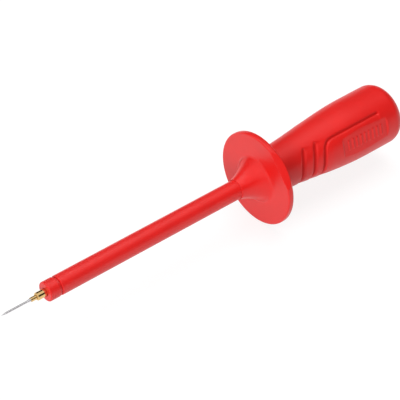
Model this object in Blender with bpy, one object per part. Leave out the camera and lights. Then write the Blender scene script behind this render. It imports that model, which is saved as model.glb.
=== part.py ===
"""Spring-tipped test probe with a finger guard, a flared handle and a shrouded 4 mm socket.

The probe lies along X with its point toward -X, over a table at z = 0.
Stations along its axis are measured from the front face of the finger guard, in metres,
negative toward the point. Every round piece is turned about that axis.
"""
import math

import bmesh
import bpy
from mathutils import Matrix, Vector

MM = 0.001

# Fits and gaps
SEAT_GAP = 0.30 * MM
METAL_GAP = 0.05 * MM
SLIDE_CLEARANCE = 0.03 * MM
PRESS_CLEARANCE = 0.03 * MM
BORE_CLEARANCE = 0.08 * MM

# Needle, which slides into its barrel against the spring
NEEDLE_TRAVEL = 4.0 * MM
NEEDLE_RADIUS = 0.36 * MM
NEEDLE_LENGTH = 8.35 * MM
POINT_LENGTH = 1.5 * MM
POINT_RADIUS = 0.05 * MM
CONE_LENGTH = 1.3 * MM
GUIDE_RADIUS = 0.51 * MM
FRONT_GUIDE_LENGTH = 2.3 * MM
REAR_GUIDE_LENGTH = 2.0 * MM
WAIST_DEPTH = 0.14 * MM

# Spring and barrel
SPRING_LENGTH = 9.0 * MM
SPRING_TURNS = 15
WIRE_RADIUS = 0.07 * MM
BARREL_WALL = 0.13 * MM
CRIMP_LENGTH = 0.5 * MM
PLUG_LENGTH = 1.5 * MM
PLUG_HEAD_LENGTH = 0.5 * MM

# Gold-plated holder that carries the barrel
BARREL_EXPOSED = 1.9 * MM
HOLDER_EXPOSED = 3.05 * MM
HOLDER_RADIUS = 1.2 * MM
HOLDER_REAR_RADIUS = 1.42 * MM
HOLDER_WEB = 1.5 * MM

# Conductor rod
SPIGOT_RADIUS = 0.75 * MM
SPIGOT_LENGTH = 6.0 * MM
ROD_RADIUS = 1.25 * MM
ROD_FLANGE_RADIUS = 2.4 * MM
ROD_FLANGE_LENGTH = 1.2 * MM
STUD_RADIUS = 1.2 * MM
STUD_LENGTH = 6.5 * MM
WASHER_THICKNESS = 0.4 * MM
WASHER_SLIT = 0.4 * MM

# Slim shank with its nose cap
SHANK_RADIUS = 3.0 * MM
SHANK_REACH = 73.2 * MM
SHANK_SEAT = 7.4 * MM
NOSE_GROOVE_WIDTH = 0.7 * MM
NOSE_GROOVE_DEPTH = 0.4 * MM
NOSE_CAP_LENGTH = 3.5 * MM
NOSE_CAP_RADIUS = 3.0 * MM
NOSE_CAP_ROUND = 0.35 * MM
CAP_SPIGOT_RADIUS = 2.2 * MM
CAP_SPIGOT_LENGTH = 3.0 * MM

# Finger guard: disc, hub and the slanted flat on its front edge
GUARD_RADIUS = 15.0 * MM
GUARD_THICKNESS = 2.2 * MM
GUARD_EDGE_ROUND = 0.7 * MM
HUB_LENGTH = 7.8 * MM
HUB_BASE_RADIUS = 6.9 * MM
HUB_LIP = 0.12 * MM
HUB_FRONT_SLOPE = math.radians(16.0)
FLAT_FRONT_DEPTH = 1.5 * MM
FLAT_BACK_DEPTH = 0.4 * MM
FLAT_ANGLE = math.radians(41.0)

# Handle: outer form
HANDLE_LENGTH = 51.4 * MM
HANDLE_WAIST_RADIUS = 7.0 * MM
HANDLE_RADIUS = 9.7 * MM
FLARE_LENGTH = 37.6 * MM
HANDLE_REAR_ROUND = 3.9 * MM
HANDLE_FRONT_ROUND = 0.5 * MM

# Handle: grip grooves and label flat, made on both sides
GRIP_GROOVE_RADIUS = 1.9 * MM
GRIP_GROOVE_DEPTH = 0.55 * MM
GRIP_GROOVES = (10.7 * MM, 15.1 * MM)
GROOVE_END_ANGLE = math.radians(51.0)
GROOVE_UPPER_SWEEP = 1.85 * MM
GROOVE_LOWER_SWEEP = 2.8 * MM
PANEL_GROOVE_RADIUS = 1.1 * MM
PANEL_GROOVE_DEPTH = 0.5 * MM
PANEL_FRONT = 18.75 * MM
PANEL_TOP_ANGLE = math.radians(45.0)
PANEL_CORNER = 3.0 * MM
PANEL_LENGTH = 22.6 * MM
LABEL_FRONT = 25.6 * MM
LABEL_LENGTH = 18.3 * MM
LABEL_WIDTH = 6.0 * MM
LABEL_ANGLE = math.radians(15.5)

# Handle: what it holds inside
CORE_FRONT_RADIUS = 5.2 * MM
CORE_REAR_RADIUS = 4.5 * MM
CORE_LENGTH = 19.0 * MM
CORE_STEP = 14.0 * MM
CORE_WEB = 2.0 * MM
CORE_CHAMFER = 0.4 * MM
PLUG_BORE_RADIUS = 2.02 * MM
PLUG_BORE_DEPTH = 22.0 * MM
CONTACT_WALL = 0.58 * MM
TAPPED_DEPTH = 7.0 * MM
SLOT_WIDTH = 0.5 * MM
SLOT_LENGTH = 14.0 * MM
RING_OFFSET = 3.0 * MM
RING_WIDTH = 1.4 * MM
RING_THICKNESS = 0.22 * MM
SHROUD_WALL = 0.45 * MM
SHROUD_LIP = 0.8 * MM
SHROUD_RECESS = 2.5 * MM
RECESS_CHAMFER = 0.3 * MM

# Faces around each turned piece
FINE_FACETS = 56
ROUND_FACETS = 48
SMALL_FACETS = 24

# Stations along the axis, worked out from the sizes above
GUARD_BACK = GUARD_THICKNESS
HANDLE_FRONT = GUARD_BACK + SEAT_GAP
HANDLE_REAR = HANDLE_FRONT + HANDLE_LENGTH
SHANK_FRONT = -SHANK_REACH
SHANK_REAR = GUARD_BACK + SHANK_SEAT
CAP_BACK = SHANK_FRONT - NOSE_GROOVE_WIDTH
CAP_FRONT = CAP_BACK - NOSE_CAP_LENGTH
CAP_SPIGOT_REAR = SHANK_FRONT + CAP_SPIGOT_LENGTH
HOLDER_FRONT = CAP_FRONT - HOLDER_EXPOSED
BARREL_FRONT = HOLDER_FRONT - BARREL_EXPOSED
CONE_REAR = BARREL_FRONT - METAL_GAP
CONE_FRONT = CONE_REAR - CONE_LENGTH
NEEDLE_TIP = CONE_FRONT - NEEDLE_LENGTH
WAIST_FRONT = BARREL_FRONT + FRONT_GUIDE_LENGTH
WAIST_LENGTH = NEEDLE_TRAVEL + CRIMP_LENGTH + 4.0 * METAL_GAP
WAIST_REAR = WAIST_FRONT + WAIST_LENGTH
CRIMP_REAR = WAIST_REAR - METAL_GAP
CRIMP_FRONT = CRIMP_REAR - CRIMP_LENGTH
NEEDLE_REAR = WAIST_REAR + REAR_GUIDE_LENGTH
SPRING_FRONT = NEEDLE_REAR + METAL_GAP
SPRING_REAR = SPRING_FRONT + SPRING_LENGTH
PLUG_FRONT = SPRING_REAR + METAL_GAP
BARREL_REAR = PLUG_FRONT + PLUG_LENGTH
PLUG_REAR = BARREL_REAR + METAL_GAP + PLUG_HEAD_LENGTH
HOLDER_SEAT = PLUG_REAR + METAL_GAP
SPIGOT_SEAT = HOLDER_SEAT + HOLDER_WEB
HOLDER_REAR = SPIGOT_SEAT + SPIGOT_LENGTH
HOLDER_STEP = CAP_SPIGOT_REAR + SEAT_GAP
FLANGE_FRONT = SHANK_REAR + SEAT_GAP
FLANGE_REAR = FLANGE_FRONT + ROD_FLANGE_LENGTH
WASHER_FRONT = FLANGE_REAR + METAL_GAP
WASHER_REAR = WASHER_FRONT + WASHER_THICKNESS
WEB_FRONT = WASHER_REAR + METAL_GAP
WEB_REAR = WEB_FRONT + CORE_WEB
CONTACT_FRONT = WEB_REAR + METAL_GAP
STUD_REAR = WEB_REAR + STUD_LENGTH
CORE_FRONT = HANDLE_FRONT + SEAT_GAP
CORE_STEP_STATION = CORE_FRONT + CORE_STEP
CORE_REAR = CORE_FRONT + CORE_LENGTH
SHROUD_REAR = HANDLE_REAR - SHROUD_RECESS
CONTACT_REAR = SHROUD_REAR - SHROUD_LIP - METAL_GAP
SHROUD_FRONT = CORE_REAR + SEAT_GAP

# Radii that fit one piece in the next
BARREL_BORE = GUIDE_RADIUS + SLIDE_CLEARANCE
BARREL_RADIUS = BARREL_BORE + BARREL_WALL
WAIST_RADIUS = GUIDE_RADIUS - WAIST_DEPTH
SPRING_OUTER_RADIUS = BARREL_BORE - SLIDE_CLEARANCE
HOLDER_BORE = BARREL_RADIUS + PRESS_CLEARANCE
SHANK_BORE = HOLDER_REAR_RADIUS + BORE_CLEARANCE
CONTACT_RADIUS = PLUG_BORE_RADIUS + CONTACT_WALL
RING_SEAT_RADIUS = CONTACT_RADIUS - RING_THICKNESS
SHROUD_BORE = CONTACT_RADIUS + BORE_CLEARANCE
SHROUD_RADIUS = SHROUD_BORE + SHROUD_WALL
CORE_SEAT_RADIUS = SHANK_RADIUS + BORE_CLEARANCE
HANDLE_BORE = CORE_FRONT_RADIUS + BORE_CLEARANCE
RECESS_RADIUS = CORE_REAR_RADIUS + BORE_CLEARANCE

# Colours as base colour, roughness and metallic value
FINISHES = {
    "red_plastic": ((0.78, 0.03, 0.03), 0.38, 0.0),
    "white_plastic": ((0.80, 0.78, 0.72), 0.50, 0.0),
    "steel": ((0.62, 0.62, 0.64), 0.22, 1.0),
    "gold_plating": ((0.90, 0.66, 0.28), 0.25, 1.0),
    "brass": ((0.78, 0.60, 0.32), 0.30, 1.0),
    "nickel_plating": ((0.70, 0.68, 0.64), 0.28, 1.0),
}


def clear_scene():
    """Removes whatever the file held before."""
    for old in list(bpy.data.objects):
        bpy.data.objects.remove(old, do_unlink=True)


def finish(name):
    """Returns the shared material of that name, made on first use."""
    material = bpy.data.materials.get(name)
    if material is None:
        colour, roughness, metallic = FINISHES[name]
        material = bpy.data.materials.new(name)
        material.use_nodes = True
        shader = material.node_tree.nodes["Principled BSDF"]
        shader.inputs["Base Color"].default_value = (*colour, 1.0)
        shader.inputs["Roughness"].default_value = roughness
        shader.inputs["Metallic"].default_value = metallic
    return material


def add_object(name, mesh, parent, material_name=None):
    """Links a mesh object under its parent, with its own material slot."""
    item = bpy.data.objects.new(name, mesh)
    bpy.context.collection.objects.link(item)
    item.parent = parent
    if material_name:
        mesh.materials.append(finish(material_name))
    return item


def shade_round(item, angle=math.radians(35.0)):
    """Shades the long faces of a turned piece smooth and keeps its edges crisp."""
    item.data.shade_smooth()
    item.data.set_sharp_from_angle(angle=angle)


def arc(centre, radius, start, end, steps):
    """Points of a round stretch in the station and radius plane, angles in degrees."""
    points = []
    for step in range(steps + 1):
        angle = math.radians(start + (end - start) * step / steps)
        points.append((centre[0] + radius * math.cos(angle), centre[1] + radius * math.sin(angle)))
    return points


def bezier(start, control, end, steps):
    """Points of a curved stretch from start to end, bent toward its control point."""
    points = []
    for step in range(steps + 1):
        share = step / steps
        rest = 1.0 - share
        points.append(tuple(rest * rest * a + 2.0 * rest * share * b + share * share * c
                            for a, b, c in zip(start, control, end)))
    return points


def turned(name, profile, parent, material_name, facets):
    """Spins a closed outline of (station, radius) points about the probe's axis."""
    shape = bmesh.new()
    points = [shape.verts.new((station, 0.0, radius)) for station, radius in profile]
    edges = [shape.edges.new((a, b)) for a, b in zip(points, points[1:] + points[:1])]
    bmesh.ops.spin(shape, geom=points + edges, cent=(0.0, 0.0, 0.0), axis=(1.0, 0.0, 0.0),
                   angle=math.tau, steps=facets, use_merge=True)
    bmesh.ops.remove_doubles(shape, verts=shape.verts, dist=1e-8)
    on_axis = [edge for edge in shape.edges if not edge.link_faces]
    bmesh.ops.delete(shape, geom=on_axis, context="EDGES")
    bmesh.ops.recalc_face_normals(shape, faces=shape.faces)
    mesh = bpy.data.meshes.new(name)
    shape.to_mesh(mesh)
    shape.free()
    item = add_object(name, mesh, parent, material_name)
    shade_round(item)
    return item


def cut_away(item, cutter):
    """Subtracts a cutter from a piece with a Boolean modifier and hides the cutter."""
    cutter.hide_render = True
    cutter.display_type = "WIRE"
    modifier = item.modifiers.new(cutter.name, "BOOLEAN")
    modifier.operation = "DIFFERENCE"
    modifier.solver = "EXACT"
    modifier.object = cutter


def box_cutter(name, size, matrix, parent):
    """A block of the given size, placed by a matrix in the probe's own frame."""
    shape = bmesh.new()
    bmesh.ops.create_cube(shape, size=1.0, matrix=matrix @ Matrix.Diagonal((*size, 1.0)))
    mesh = bpy.data.meshes.new(name)
    shape.to_mesh(mesh)
    shape.free()
    return add_object(name, mesh, parent)


def tube_mesh(name, path, radius, resolution):
    """Sweeps a round section along a path of points and returns it as a closed mesh."""
    curve = bpy.data.curves.new(name, "CURVE")
    curve.dimensions = "3D"
    curve.bevel_depth = radius
    curve.bevel_resolution = resolution
    curve.use_fill_caps = True
    spline = curve.splines.new("POLY")
    spline.points.add(len(path) - 1)
    for point, place in zip(spline.points, path):
        point.co = (*place, 1.0)
    guide = bpy.data.objects.new(name, curve)
    bpy.context.collection.objects.link(guide)
    mesh = bpy.data.meshes.new_from_object(guide.evaluated_get(bpy.context.evaluated_depsgraph_get()))
    bpy.data.objects.remove(guide, do_unlink=True)
    bpy.data.curves.remove(curve)
    shape = bmesh.new()
    shape.from_mesh(mesh)
    bmesh.ops.remove_doubles(shape, verts=shape.verts, dist=1e-8)
    bmesh.ops.recalc_face_normals(shape, faces=shape.faces)
    shape.to_mesh(mesh)
    shape.free()
    mesh.name = name
    return mesh


def handle_radius(station):
    """Outer radius of the handle: a waist behind the guard that flares in an S-curve."""
    share = min(max((station - HANDLE_FRONT) / FLARE_LENGTH, 0.0), 1.0)
    return HANDLE_WAIST_RADIUS + (HANDLE_RADIUS - HANDLE_WAIST_RADIUS) * (1.0 - math.cos(math.pi * share)) / 2.0


def on_handle(station, angle, lift, side):
    """Point over the handle's surface. Angles rise from the horizontal, side is -1 or 1 in Y."""
    radius = handle_radius(station) + lift
    return Vector((station, side * radius * math.cos(angle), radius * math.sin(angle)))


def make_needle(carrier):
    """Steel needle: fine point, cone, front guide, waist for the crimp and rear guide."""
    outline = [
        (NEEDLE_TIP, 0.0),
        (NEEDLE_TIP, POINT_RADIUS),
        (NEEDLE_TIP + POINT_LENGTH, NEEDLE_RADIUS),
        (CONE_FRONT, NEEDLE_RADIUS),
        (CONE_REAR, GUIDE_RADIUS),
        (WAIST_FRONT, GUIDE_RADIUS),
        (WAIST_FRONT, WAIST_RADIUS),
        (WAIST_REAR, WAIST_RADIUS),
        (WAIST_REAR, GUIDE_RADIUS),
        (NEEDLE_REAR, GUIDE_RADIUS),
        (NEEDLE_REAR, 0.0),
    ]
    local = [(station - carrier.location.x, radius) for station, radius in outline]
    return turned("probe_needle", local, carrier, "steel", SMALL_FACETS)


def make_barrel(axis):
    """Gold-plated barrel with a rolled crimp that keeps the needle in."""
    crimp_radius = WAIST_RADIUS + METAL_GAP
    crimp_dent = BARREL_BORE - crimp_radius
    outline = [
        (BARREL_FRONT, BARREL_BORE),
        (BARREL_FRONT, BARREL_RADIUS - BARREL_WALL / 2.0),
        (BARREL_FRONT + BARREL_WALL / 2.0, BARREL_RADIUS),
        (CRIMP_FRONT, BARREL_RADIUS),
        (CRIMP_FRONT + CRIMP_LENGTH / 2.0, BARREL_RADIUS - crimp_dent),
        (CRIMP_REAR, BARREL_RADIUS),
        (BARREL_REAR, BARREL_RADIUS),
        (BARREL_REAR, BARREL_BORE),
        (CRIMP_REAR, BARREL_BORE),
        (CRIMP_FRONT + CRIMP_LENGTH / 2.0, crimp_radius),
        (CRIMP_FRONT, BARREL_BORE),
    ]
    return turned("needle_barrel", outline, axis, "gold_plating", SMALL_FACETS)


def make_spring(axis):
    """Compression spring between the needle and the barrel's plug."""
    coil_radius = SPRING_OUTER_RADIUS - WIRE_RADIUS
    steps_per_turn = 12
    steps = SPRING_TURNS * steps_per_turn
    first = SPRING_FRONT + WIRE_RADIUS
    pitch_length = SPRING_LENGTH - 2.0 * WIRE_RADIUS
    path = []
    for step in range(steps + 1):
        angle = math.tau * step / steps_per_turn
        path.append((first + pitch_length * step / steps,
                     coil_radius * math.cos(angle), coil_radius * math.sin(angle)))
    mesh = tube_mesh("needle_spring", path, WIRE_RADIUS, 1)
    item = add_object("needle_spring", mesh, axis, "steel")
    item.data.shade_smooth()
    return item


def make_barrel_plug(axis):
    """Brass plug that closes the barrel and carries the spring."""
    plug_radius = BARREL_BORE - PRESS_CLEARANCE
    head_front = BARREL_REAR + METAL_GAP
    outline = [
        (PLUG_FRONT, 0.0),
        (PLUG_FRONT, plug_radius),
        (head_front, plug_radius),
        (head_front, BARREL_RADIUS),
        (PLUG_REAR, BARREL_RADIUS),
        (PLUG_REAR, 0.0),
    ]
    return turned("barrel_plug", outline, axis, "brass", SMALL_FACETS)


def make_tip_holder(axis):
    """Gold-plated holder: bored for the barrel in front and for the rod behind."""
    front_chamfer = 0.2 * (HOLDER_RADIUS - HOLDER_BORE)
    spigot_bore = SPIGOT_RADIUS + PRESS_CLEARANCE
    outline = [
        (HOLDER_FRONT, HOLDER_BORE),
        (HOLDER_FRONT, HOLDER_RADIUS - front_chamfer),
        (HOLDER_FRONT + front_chamfer, HOLDER_RADIUS),
        (HOLDER_STEP, HOLDER_RADIUS),
        (HOLDER_STEP, HOLDER_REAR_RADIUS),
        (HOLDER_REAR, HOLDER_REAR_RADIUS),
        (HOLDER_REAR, spigot_bore),
        (SPIGOT_SEAT, spigot_bore),
        (SPIGOT_SEAT, 0.0),
        (HOLDER_SEAT, 0.0),
        (HOLDER_SEAT, HOLDER_BORE),
    ]
    return turned("tip_holder", outline, axis, "gold_plating", SMALL_FACETS)


def make_conductor_rod(axis):
    """Brass rod through the shank, with a flange and a threaded stud behind it."""
    body_front = HOLDER_REAR + METAL_GAP
    outline = [
        (SPIGOT_SEAT + METAL_GAP, 0.0),
        (SPIGOT_SEAT + METAL_GAP, SPIGOT_RADIUS),
        (body_front, SPIGOT_RADIUS),
        (body_front, ROD_RADIUS),
        (FLANGE_FRONT, ROD_RADIUS),
        (FLANGE_FRONT, ROD_FLANGE_RADIUS),
        (FLANGE_REAR, ROD_FLANGE_RADIUS),
        (FLANGE_REAR, STUD_RADIUS),
        (STUD_REAR, STUD_RADIUS),
        (STUD_REAR, 0.0),
    ]
    return turned("conductor_rod", outline, axis, "brass", SMALL_FACETS)


def make_clamp_washer(axis):
    """Split spring washer between the rod's flange and the core's web."""
    bore = STUD_RADIUS + BORE_CLEARANCE
    outline = [
        (WASHER_FRONT, bore),
        (WASHER_FRONT, ROD_FLANGE_RADIUS),
        (WASHER_REAR, ROD_FLANGE_RADIUS),
        (WASHER_REAR, bore),
    ]
    washer = turned("clamp_washer", outline, axis, "steel", SMALL_FACETS)
    middle = Vector(((WASHER_FRONT + WASHER_REAR) / 2.0, 0.0, ROD_FLANGE_RADIUS))
    size = (4.0 * WASHER_THICKNESS, WASHER_SLIT, 2.0 * ROD_FLANGE_RADIUS)
    cut_away(washer, box_cutter("washer_slit_cutter", size, Matrix.Translation(middle), axis))
    return washer


def make_shank_sleeve(axis):
    """Insulating shank: counterbored in front for the nose cap, seated in the core behind."""
    front_bore = CAP_SPIGOT_RADIUS + BORE_CLEARANCE
    front_bore_end = CAP_SPIGOT_REAR + SEAT_GAP
    outline = [
        (SHANK_FRONT, front_bore),
        (SHANK_FRONT, SHANK_RADIUS),
        (SHANK_REAR, SHANK_RADIUS),
        (SHANK_REAR, SHANK_BORE),
        (front_bore_end, SHANK_BORE),
        (front_bore_end, front_bore),
    ]
    return turned("shank_sleeve", outline, axis, "red_plastic", ROUND_FACETS)


def make_nose_cap(axis):
    """Nose cap in front of the groove, with a neck and a spigot that enters the shank."""
    bore = HOLDER_RADIUS + BORE_CLEARANCE
    neck_radius = SHANK_RADIUS - NOSE_GROOVE_DEPTH
    neck_rear = SHANK_FRONT - METAL_GAP
    round_centre = (CAP_FRONT + NOSE_CAP_ROUND, NOSE_CAP_RADIUS - NOSE_CAP_ROUND)
    outline = [(CAP_FRONT, bore)]
    outline += arc(round_centre, NOSE_CAP_ROUND, 180.0, 90.0, 4)
    outline += [
        (CAP_BACK, NOSE_CAP_RADIUS),
        (CAP_BACK, neck_radius),
        (neck_rear, neck_radius),
        (neck_rear, CAP_SPIGOT_RADIUS),
        (CAP_SPIGOT_REAR, CAP_SPIGOT_RADIUS),
        (CAP_SPIGOT_REAR, bore),
    ]
    return turned("nose_cap", outline, axis, "red_plastic", ROUND_FACETS)


def make_finger_guard(axis):
    """Disc with a trumpet-shaped hub in front and one slanted flat on its front edge."""
    bore = SHANK_RADIUS + BORE_CLEARANCE
    hub_front_radius = bore + HUB_LIP
    bend = HUB_LENGTH / 2.0
    control = (-HUB_LENGTH + bend, hub_front_radius + bend * math.tan(HUB_FRONT_SLOPE))
    edge = GUARD_EDGE_ROUND
    outline = [(-HUB_LENGTH, bore)]
    outline += bezier((-HUB_LENGTH, hub_front_radius), control, (0.0, HUB_BASE_RADIUS), 6)
    outline += arc((edge, GUARD_RADIUS - edge), edge, 180.0, 90.0, 4)
    outline += arc((GUARD_BACK - edge, GUARD_RADIUS - edge), edge, 90.0, 0.0, 4)
    outline += [(GUARD_BACK, bore)]
    guard = turned("finger_guard", outline, axis, "red_plastic", FINE_FACETS)
    cut_away(guard, make_flat_cutter(axis))
    return guard


def make_flat_cutter(axis):
    """Block whose lower face is the slanted flat on the guard's front edge."""
    slope = math.atan2(FLAT_FRONT_DEPTH - FLAT_BACK_DEPTH, GUARD_THICKNESS)
    height = GUARD_RADIUS / 2.0
    middle_depth = (FLAT_FRONT_DEPTH + FLAT_BACK_DEPTH) / 2.0
    around = Matrix.Rotation(math.pi / 2.0 - FLAT_ANGLE, 4, "X")
    at_edge = Matrix.Translation((GUARD_THICKNESS / 2.0, 0.0, GUARD_RADIUS - middle_depth))
    tilt = Matrix.Rotation(-slope, 4, "Y")
    lift = Matrix.Translation((0.0, 0.0, height / 2.0))
    size = (4.0 * GUARD_THICKNESS, 2.0 * GUARD_RADIUS, height)
    return box_cutter("guard_flat_cutter", size, around @ at_edge @ tilt @ lift, axis)


def groove_station(middle, angle):
    """Station of a groove at an angle: foremost at mid height and swept back toward its ends."""
    sweep = GROOVE_UPPER_SWEEP if angle > 0.0 else GROOVE_LOWER_SWEEP
    return HANDLE_FRONT + middle + sweep * (1.0 - math.cos(math.pi / 2.0 * angle / GROOVE_END_ANGLE))


def groove_path(middle, first_angle, lift, side, steps=16):
    """Path of a groove down one side of the handle, from first_angle to its lower end."""
    path = []
    for step in range(steps + 1):
        angle = first_angle - (first_angle + GROOVE_END_ANGLE) * step / steps
        path.append(on_handle(groove_station(middle, angle), angle, lift, side))
    return path


def panel_path(side):
    """Path of the panel's groove: along its top, round its corner and down its front."""
    lift = PANEL_GROOVE_RADIUS - PANEL_GROOVE_DEPTH
    front = groove_station(PANEL_FRONT, PANEL_TOP_ANGLE)
    corner_angle = PANEL_TOP_ANGLE - PANEL_CORNER / handle_radius(front)
    corner_end = (groove_station(PANEL_FRONT, corner_angle), corner_angle)
    corner_start = (front + PANEL_CORNER, PANEL_TOP_ANGLE)
    rear = HANDLE_FRONT + PANEL_FRONT + PANEL_LENGTH
    path = []
    for station in (rear, (rear + corner_start[0]) / 2.0):
        path.append(on_handle(station, PANEL_TOP_ANGLE, lift, side))
    corner = bezier(corner_start, (front, PANEL_TOP_ANGLE), corner_end, 6)
    path += [on_handle(station, angle, lift, side) for station, angle in corner]
    return path + groove_path(PANEL_FRONT, corner_angle, lift, side)[1:]


def label_flat_cutter(name, side, axis):
    """Block that planes the shallow label flat on one side of the handle."""
    front = HANDLE_FRONT + LABEL_FRONT
    rear = front + LABEL_LENGTH
    half = LABEL_WIDTH / 2.0
    front_height = math.sqrt(handle_radius(front) ** 2 - half ** 2)
    rear_height = math.sqrt(handle_radius(rear) ** 2 - half ** 2)
    slope = math.atan2(rear_height - front_height, LABEL_LENGTH)
    depth = HANDLE_RADIUS - front_height
    around = Matrix.Rotation(-side * (math.pi / 2.0 - LABEL_ANGLE), 4, "X")
    at_middle = Matrix.Translation(((front + rear) / 2.0, 0.0, (front_height + rear_height) / 2.0))
    tilt = Matrix.Rotation(-slope, 4, "Y")
    lift = Matrix.Translation((0.0, 0.0, depth))
    size = (LABEL_LENGTH, 2.0 * LABEL_WIDTH, 2.0 * depth)
    return box_cutter(name, size, around @ at_middle @ tilt @ lift, axis)


def make_handle_shell(axis):
    """Flared handle with grip grooves, a label flat on each side and the socket recess."""
    rear_round = HANDLE_REAR_ROUND
    core_step = CORE_STEP_STATION + SEAT_GAP
    front_edge = (HANDLE_FRONT + HANDLE_FRONT_ROUND, HANDLE_WAIST_RADIUS - HANDLE_FRONT_ROUND)
    rear_edge = (HANDLE_REAR - rear_round, HANDLE_RADIUS - rear_round)
    flare_steps = 11
    outline = [(HANDLE_FRONT, HANDLE_BORE)]
    outline += arc(front_edge, HANDLE_FRONT_ROUND, 180.0, 90.0, 3)
    for step in range(1, flare_steps + 1):
        station = HANDLE_FRONT + FLARE_LENGTH * step / flare_steps
        if station > HANDLE_FRONT + HANDLE_FRONT_ROUND:
            outline.append((station, handle_radius(station)))
    outline += arc(rear_edge, rear_round, 90.0, 0.0, 7)
    outline += [
        (HANDLE_REAR, RECESS_RADIUS + RECESS_CHAMFER),
        (HANDLE_REAR - RECESS_CHAMFER, RECESS_RADIUS),
        (core_step, RECESS_RADIUS),
        (core_step, HANDLE_BORE),
    ]
    shell = turned("handle_shell", outline, axis, "red_plastic", ROUND_FACETS)
    for side, side_name in ((-1.0, "right"), (1.0, "left")):
        for number, middle in enumerate(GRIP_GROOVES, 1):
            path = groove_path(middle, GROOVE_END_ANGLE, GRIP_GROOVE_RADIUS - GRIP_GROOVE_DEPTH, side)
            name = f"grip_groove_cutter_{side_name}_{number}"
            cut_away(shell, add_object(name, tube_mesh(name, path, GRIP_GROOVE_RADIUS, 6), axis))
        name = f"panel_groove_cutter_{side_name}"
        cut_away(shell, add_object(name, tube_mesh(name, panel_path(side), PANEL_GROOVE_RADIUS, 3), axis))
        cut_away(shell, label_flat_cutter(f"label_flat_cutter_{side_name}", side, axis))
    return shell


def make_handle_core(axis):
    """Insulating core that seats the shank in front and the socket contact behind."""
    contact_bore = CONTACT_RADIUS + BORE_CLEARANCE
    stud_bore = STUD_RADIUS + BORE_CLEARANCE
    outline = [
        (CORE_FRONT, CORE_SEAT_RADIUS),
        (CORE_FRONT, CORE_FRONT_RADIUS - CORE_CHAMFER),
        (CORE_FRONT + CORE_CHAMFER, CORE_FRONT_RADIUS),
        (CORE_STEP_STATION, CORE_FRONT_RADIUS),
        (CORE_STEP_STATION, CORE_REAR_RADIUS),
        (CORE_REAR, CORE_REAR_RADIUS),
        (CORE_REAR, contact_bore),
        (WEB_REAR, contact_bore),
        (WEB_REAR, stud_bore),
        (WEB_FRONT, stud_bore),
        (WEB_FRONT, CORE_SEAT_RADIUS),
    ]
    return turned("handle_core", outline, axis, "white_plastic", ROUND_FACETS)


def make_socket_contact(axis):
    """Slotted 4 mm contact tube, tapped in front for the rod's stud."""
    tapped_radius = STUD_RADIUS + PRESS_CLEARANCE
    bore_front = CONTACT_REAR - PLUG_BORE_DEPTH
    ring_rear = CONTACT_REAR - RING_OFFSET
    ring_front = ring_rear - RING_WIDTH - 2.0 * METAL_GAP
    outline = [
        (CONTACT_FRONT, tapped_radius),
        (CONTACT_FRONT, CONTACT_RADIUS),
        (ring_front, CONTACT_RADIUS),
        (ring_front, RING_SEAT_RADIUS),
        (ring_rear, RING_SEAT_RADIUS),
        (ring_rear, CONTACT_RADIUS),
        (CONTACT_REAR, CONTACT_RADIUS),
        (CONTACT_REAR, PLUG_BORE_RADIUS),
        (bore_front, PLUG_BORE_RADIUS),
        (bore_front, 0.0),
        (CONTACT_FRONT + TAPPED_DEPTH, 0.0),
        (CONTACT_FRONT + TAPPED_DEPTH, tapped_radius),
    ]
    contact = turned("socket_contact", outline, axis, "nickel_plating", SMALL_FACETS)
    middle = CONTACT_REAR - SLOT_LENGTH / 2.0 + SLOT_WIDTH
    for number, angle in enumerate((math.radians(45.0), math.radians(135.0)), 1):
        matrix = Matrix.Rotation(angle, 4, "X") @ Matrix.Translation((middle, 0.0, 0.0))
        size = (SLOT_LENGTH + 2.0 * SLOT_WIDTH, SLOT_WIDTH, 4.0 * CONTACT_RADIUS)
        cut_away(contact, box_cutter(f"contact_slot_cutter_{number}", size, matrix, axis))
    return contact


def make_contact_ring(axis):
    """Open spring ring that presses the contact's four fingers together."""
    inner = RING_SEAT_RADIUS + SLIDE_CLEARANCE
    rear = CONTACT_REAR - RING_OFFSET - METAL_GAP
    outline = [
        (rear - RING_WIDTH, inner),
        (rear - RING_WIDTH, CONTACT_RADIUS),
        (rear, CONTACT_RADIUS),
        (rear, inner),
    ]
    ring = turned("contact_ring", outline, axis, "steel", SMALL_FACETS)
    middle = Vector((rear - RING_WIDTH / 2.0, 0.0, CONTACT_RADIUS))
    size = (2.0 * RING_WIDTH, 2.0 * SLOT_WIDTH, CONTACT_RADIUS)
    cut_away(ring, box_cutter("ring_gap_cutter", size, Matrix.Translation(middle), axis))
    return ring


def make_socket_shroud(axis):
    """Insulating tube over the contact, with a lip that keeps fingers off the metal."""
    lip_front = SHROUD_REAR - SHROUD_LIP
    lip_bore = PLUG_BORE_RADIUS + BORE_CLEARANCE
    lip_round = SHROUD_WALL
    outline = [
        (SHROUD_FRONT, SHROUD_BORE),
        (SHROUD_FRONT, SHROUD_RADIUS),
    ]
    outline += arc((SHROUD_REAR - lip_round, SHROUD_RADIUS - lip_round), lip_round, 90.0, 0.0, 4)
    outline += [
        (SHROUD_REAR, lip_bore),
        (lip_front, lip_bore),
        (lip_front, SHROUD_BORE),
    ]
    return turned("socket_shroud", outline, axis, "red_plastic", ROUND_FACETS)


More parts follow.
